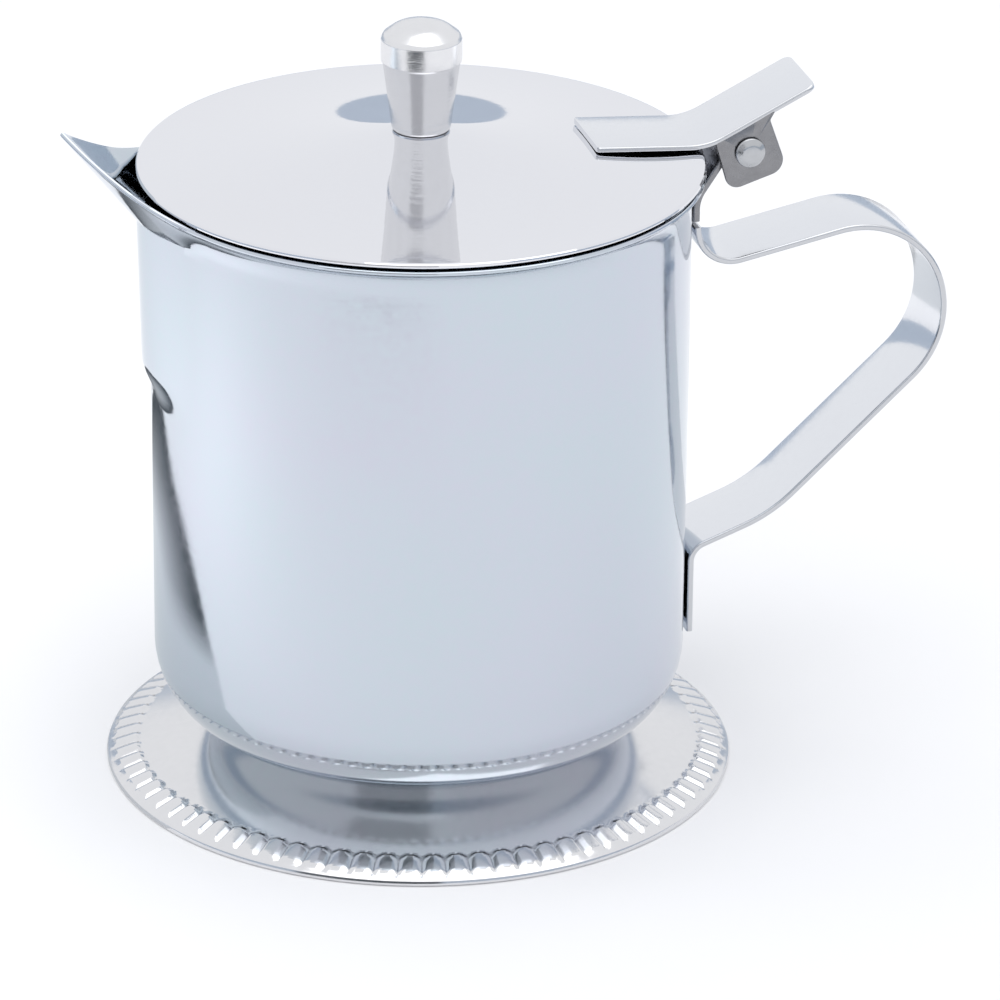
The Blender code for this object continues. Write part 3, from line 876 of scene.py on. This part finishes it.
class CREAMER_OT_cup(bpy.types.Operator):
    """Builds the cup with its throat, rim and beak"""

    bl_idname = "creamer.cup"
    bl_label = "Cup"

    def execute(self, context):
        sizes = context.scene.creamer_sizes
        fine = np.linspace(-FINE_HALF_ANGLE, FINE_HALF_ANGLE, FINE_STEPS)
        coarse = np.linspace(FINE_HALF_ANGLE, 2 * pi - FINE_HALF_ANGLE, COARSE_STEPS)[1:-1]
        angles = np.concatenate([fine, coarse])
        signed = (angles + pi) % (2 * pi) - pi
        profile = sheet_loop(cup_profile(signed, sizes.throat_depth), sizes.cup_sheet, 0, 1)
        piece = surface("cup_shell", turned_grid(profile, angles))
        finish(piece, "cup", "pot", steels(context.scene)["satin"])
        return {"FINISHED"}


class CREAMER_OT_foot(bpy.types.Operator):
    """Builds the flared foot with its fluted border"""

    bl_idname = "creamer.foot"
    bl_label = "Foot"

    def execute(self, context):
        grid = foot_grid(context.scene.creamer_sizes)
        piece = surface("foot_dish", grid, along=True)
        finish(piece, "foot", "pot", steels(context.scene)["foot"])
        return {"FINISHED"}


class CREAMER_OT_lid(bpy.types.Operator):
    """Builds the lid"""

    bl_idname = "creamer.lid"
    bl_label = "Lid"

    def execute(self, context):
        sizes = context.scene.creamer_sizes
        profile = sheet_loop(lid_line(sizes), -sizes.lid_sheet, 0, 1)
        piece = surface("lid_disc", turned_grid(profile, full_turn(LID_STEPS)), along=True)
        finish(piece, "lid", "lid", steels(context.scene)["lid"])
        return {"FINISHED"}


class CREAMER_OT_knob(bpy.types.Operator):
    """Builds the turned knob and the screw that holds it"""

    bl_idname = "creamer.knob"
    bl_label = "Knob"

    def execute(self, context):
        finishes = steels(context.scene)
        knob_z = KNOB_BOTTOM_Z - KNOB_SINK
        screw_z = LID_HIGH.z - context.scene.creamer_sizes.lid_sheet - WELD_GAP
        for name, node, line, radii, base, look in (
            ("knob_turned", "knob", KNOB_LINE, KNOB_LINE_RADII, knob_z, "turned"),
            ("knob_screw_head", "knob_screw", SCREW_LINE, SCREW_LINE_RADII, screw_z, "hinge"),
        ):
            profile = rounded_path(line, radii) + np.array([0, base])
            piece = surface(name, turned_grid(profile, full_turn(KNOB_STEPS)))
            finish(piece, node, "lid", finishes[look])
        return {"FINISHED"}


class CREAMER_OT_handle(bpy.types.Operator):
    """Builds the strap handle"""

    bl_idname = "creamer.handle"
    bl_label = "Handle"

    def execute(self, context):
        sizes = context.scene.creamer_sizes
        grid = strip_grid(handle_path(sizes.strap_sheet), sizes.strap_width, sizes.strap_sheet, sizes.edge)
        piece = surface("handle_strap", grid, False, True)
        finish(piece, "handle", "pot", steels(context.scene)["strap"])
        return {"FINISHED"}


class CREAMER_OT_lever(bpy.types.Operator):
    """Builds the thumb lever and its two ears"""

    bl_idname = "creamer.lever"
    bl_label = "Thumb lever"

    def execute(self, context):
        sizes = context.scene.creamer_sizes
        look = steels(context.scene)
        path = spaced(rounded_path(LEVER_LINE, (0, LEVER_BEND_RADIUS, 0)), LEVER_POINTS)
        corners = (LEVER_FRONT_RADIUS, LEVER_TIP_RADIUS)
        grid = strip_grid(path, LEVER_WIDTH, sizes.lever_sheet, sizes.edge, *corners)
        plate = surface("thumb_lever_plate", grid, False, True)
        finish(plate, "thumb_lever", "lid", look["strap"])
        for name, side in (("thumb_lever_ear_near", -1), ("thumb_lever_ear_far", 1)):
            ear = surface(name, ear_grid(sizes, side), along=True)
            finish(ear, "thumb_lever", "lid", look["hinge"])
        return {"FINISHED"}


class CREAMER_OT_hinge(bpy.types.Operator):
    """Builds the hinge's bracket and pin"""

    bl_idname = "creamer.hinge"
    bl_label = "Hinge"

    def execute(self, context):
        sizes = context.scene.creamer_sizes
        look = steels(context.scene)
        grid = strip_grid(bracket_path(), BRACKET_WIDTH, BRACKET_SHEET, sizes.edge)
        bracket = surface("hinge_bracket_strip", grid, False, True)
        finish(bracket, "hinge_bracket", "pot", look["hinge"])
        head = rounded_path(PIN_LINE, PIN_LINE_RADII) + np.array([0, PIN_HALF])
        profile = np.concatenate([head, head[::-1] * np.array([1, -1])])
        turn = full_turn(PIN_STEPS)[:, None]
        along = np.broadcast_to(profile[:, 1], (len(turn), len(profile)))
        x = HINGE[0] + profile[:, 0] * np.cos(turn)
        z = HINGE[2] + profile[:, 0] * np.sin(turn)
        rivet = surface("hinge_pin_rivet", np.stack([x, along, z], axis=-1))
        finish(rivet, "hinge_pin", "pot", look["pin"])
        return {"FINISHED"}


def area_light(name, power, size, place, target):
    """A soft light that faces a point."""
    light = bpy.data.lights.new(name, "AREA")
    light.energy = power
    light.shape = "RECTANGLE"
    light.size, light.size_y = size
    lamp = bpy.data.objects.new(name, light)
    lamp.location = place
    lamp.rotation_euler = (Vector(target) - Vector(place)).to_track_quat("-Z", "Y").to_euler()
    bpy.context.scene.collection.objects.link(lamp)
    return lamp


def stage_card(name, corners, material, faces=None):
    """A card of the studio: one flat face through all the corners, or the faces given."""
    mesh = bpy.data.meshes.new(name)
    if faces is None:
        faces = np.arange(len(corners))[None]
    mesh.from_pydata(np.array(corners).tolist(), [], faces.tolist())
    mesh.materials.append(material)
    card = bpy.data.objects.new(name, mesh)
    bpy.context.scene.collection.objects.link(card)
    return card


def round_card(middle, radius, sides, first=0.0, last=2 * pi):
    """Corners of a level disc, or of the part of it that an arc cuts off: the middle plus the radius times
    (cos t, sin t)."""
    turn = np.linspace(first, last, sides, endpoint=False)
    level = np.full(sides, middle[2])
    return np.stack([middle[0] + radius * np.cos(turn), middle[1] + radius * np.sin(turn), level], axis=-1)


def hide_from_camera(card):
    """Leaves a card to be seen only in the steel."""
    card.visible_camera = False
    card.visible_diffuse = False
    card.visible_shadow = False


def stage_band(name, middle, radius, height, material):
    """An upright band round a middle point, from the floor to a height."""
    lower = round_card(middle, radius, DISC_SIDES)
    upper = lower + np.array([0, 0, height])
    first = np.arange(DISC_SIDES)
    second = (first + 1) % DISC_SIDES
    faces = np.stack([first, second, second + DISC_SIDES, first + DISC_SIDES], axis=-1)
    return stage_card(name, np.concatenate([lower, upper]), material, faces)


def plain_material(name, tint):
    """A matt studio surface."""
    material = bpy.data.materials.new(name)
    material.use_nodes = True
    shader = material.node_tree.nodes["Principled BSDF"]
    shader.inputs["Roughness"].default_value = MATT
    shader.inputs["Base Color"].default_value = (*tint, 1)
    shader.inputs["Specular IOR Level"].default_value = 0.0
    return material


def faded_material(name, pale, dark, fades):
    """A matt studio surface that runs from pale to dark with the distance from each fade's middle point,
    between its two distances. The fades' shares are multiplied."""
    material = plain_material(name, pale)
    tree = material.node_tree
    coordinates = tree.nodes.new("ShaderNodeTexCoord")
    tint = tree.nodes.new("ShaderNodeMix")
    tint.data_type = "RGBA"
    tint.inputs["A"].default_value = (*pale, 1)
    tint.inputs["B"].default_value = (*dark, 1)
    product = math_node(tree, "MULTIPLY")
    for slot, (middle, start, end) in enumerate(fades):
        away = tree.nodes.new("ShaderNodeVectorMath")
        away.operation = "DISTANCE"
        away.inputs[1].default_value = middle
        step = tree.nodes.new("ShaderNodeMapRange")
        step.inputs["From Min"].default_value = start
        step.inputs["From Max"].default_value = end
        wire(
            tree,
            [
                (coordinates.outputs["Object"], away.inputs[0]),
                (away.outputs["Value"], step.inputs["Value"]),
                (step.outputs["Result"], product.inputs[slot]),
            ],
        )
    wire(
        tree,
        [
            (product.outputs[0], tint.inputs["Factor"]),
            (tint.outputs["Result"], tree.nodes["Principled BSDF"].inputs["Base Color"]),
        ],
    )
    return material


class CREAMER_OT_stage(bpy.types.Operator):
    """Sets the camera, the floor and the lights"""

    bl_idname = "creamer.stage"
    bl_label = "Studio"

    def execute(self, context):
        scene = context.scene
        studio = scene.creamer_studio
        turn = Matrix.Rotation(-studio.turn, 3, "Z")
        back = turn @ Vector((0, -cos(studio.elevation), sin(studio.elevation)))
        right = turn @ Vector((1, 0, 0))
        up = back.cross(right)
        level = cos(studio.roll) * right + sin(studio.roll) * up
        head = cos(studio.roll) * up - sin(studio.roll) * right
        target = Vector((AXIS_X, 0, studio.height)) + studio.aside * right
        camera = bpy.data.objects.new("camera", bpy.data.cameras.new("camera"))
        camera.data.lens = studio.lens
        camera.data.sensor_width = 36.0
        camera.data.clip_start = 0.01
        camera.matrix_world = Matrix.Translation(target + studio.distance * back) @ (
            Matrix((level, head, back)).transposed().to_4x4()
        )
        scene.collection.objects.link(camera)
        scene.camera = camera

        world = bpy.data.worlds.new("studio")
        world.use_nodes = True
        world.node_tree.nodes["Background"].inputs["Color"].default_value = (*studio.sky, 1)
        world.node_tree.nodes["Background"].inputs["Strength"].default_value = studio.sky_strength
        scene.world = world
        scene.view_settings.view_transform = "Standard"

        def aimed(x, y, z):
            """A place given from the cup's axis, turned with the camera."""
            return turn @ Vector((x, y, z)) + Vector((AXIS_X, 0, 0))

        floor = plain_material("floor", studio.floor)
        shade = plain_material("shade", studio.shade)
        grey = plain_material("grey", studio.grey)
        pale_shadow = plain_material("painted shadow, pale", studio.pale_shadow)
        blue_grey = plain_material("blue grey", studio.haze)
        # Painted shadows of the pot on the floor, seen only in the steel: a pale disc, a part of it that
        # darkens towards its edge and away from the cup, and a pale disc behind the cup
        middle = aimed(*PAINTED_SHADOW_MIDDLE)
        fades = ((middle, *SHADOW_EDGE_FADE), (aimed(0, 0, 0), *CUP_FADE))
        faded = faded_material("faded shade", studio.pale_shadow, studio.shade, fades)
        stage_card("floor", round_card((AXIS_X, 0, 0), studio.floor_radius, FLOOR_SIDES), floor)
        pale_shadow_disc = round_card(middle + Vector((0, 0, PALE_SHADOW_Z)), PAINTED_SHADOW_RADIUS, DISC_SIDES)
        hide_from_camera(stage_card("painted_shadow_pale", pale_shadow_disc, pale_shadow))
        arc = round_card(middle + Vector((0, 0, FADED_SHADOW_Z)), PAINTED_SHADOW_RADIUS, DISC_SIDES, *FADED_SHADOW_ARC)
        hide_from_camera(stage_card("painted_shadow_faded", arc, faded))
        back_shadow_disc = round_card(aimed(*BACK_SHADOW_MIDDLE), BACK_SHADOW_RADIUS, BACK_SHADOW_SIDES)
        hide_from_camera(stage_card("painted_shadow_back", back_shadow_disc, pale_shadow))
        band = stage_band("haze_band", (AXIS_X, 0, 0), studio.haze_radius, studio.haze_height, blue_grey)
        hide_from_camera(band)
        for (name, left, right, low, high), look in zip(FRONT_CARDS, (shade, grey)):
            corners = [aimed(*left, low), aimed(*right, low), aimed(*right, high), aimed(*left, high)]
            hide_from_camera(stage_card(name, corners, look))
        area_light("key", studio.key_power, KEY_SIZE, aimed(*KEY_PLACE), aimed(*KEY_TARGET))
        side = area_light("side", studio.side_power, SIDE_SIZE, aimed(*SIDE_PLACE), aimed(*SIDE_TARGET))
        side.visible_glossy = False
        return {"FINISHED"}


class CREAMER_PT_panel(bpy.types.Panel):
    """Lists the steps that build the creamer"""

    bl_idname = "CREAMER_PT_panel"
    bl_label = "Creamer"
    bl_space_type = "VIEW_3D"
    bl_region_type = "UI"
    bl_category = "Creamer"

    def draw(self, context):
        scene = context.scene
        for operator in OPERATORS:
            self.layout.operator(operator.bl_idname)
        for group in (scene.creamer_sizes, scene.creamer_studio):
            for title in group.__annotations__:
                self.layout.prop(group, title)


GROUPS = (CreamerSizes, SteelFinish, CreamerFinishes, CreamerStudio)
OPERATORS = (
    CREAMER_OT_stage,
    CREAMER_OT_cup,
    CREAMER_OT_foot,
    CREAMER_OT_handle,
    CREAMER_OT_hinge,
    CREAMER_OT_lid,
    CREAMER_OT_lever,
    CREAMER_OT_knob,
)


def register():
    """Registers the classes and hangs the settings on the scene."""
    for item in (*GROUPS, *OPERATORS, CREAMER_PT_panel):
        bpy.utils.register_class(item)
    bpy.types.Scene.creamer_sizes = bpy.props.PointerProperty(type=CreamerSizes)
    bpy.types.Scene.creamer_finishes = bpy.props.PointerProperty(type=CreamerFinishes)
    bpy.types.Scene.creamer_studio = bpy.props.PointerProperty(type=CreamerStudio)


def unregister():
    """Takes the settings and the classes away."""
    del bpy.types.Scene.creamer_studio
    del bpy.types.Scene.creamer_finishes
    del bpy.types.Scene.creamer_sizes
    for item in (CREAMER_PT_panel, *reversed(OPERATORS), *reversed(GROUPS)):
        bpy.utils.unregister_class(item)


def main():
    """Registers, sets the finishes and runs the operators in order."""
    register()
    finishes = bpy.context.scene.creamer_finishes
    for name, values in FINISH_VALUES.items():
        for title, value in values.items():
            setattr(getattr(finishes, name), title, value)
    bpy.ops.creamer.stage()
    bpy.ops.creamer.cup()
    bpy.ops.creamer.foot()
    bpy.ops.creamer.handle()
    bpy.ops.creamer.hinge()
    bpy.ops.creamer.lid()
    bpy.ops.creamer.lever()
    bpy.ops.creamer.knob()


if __name__ == "__main__":
    main()
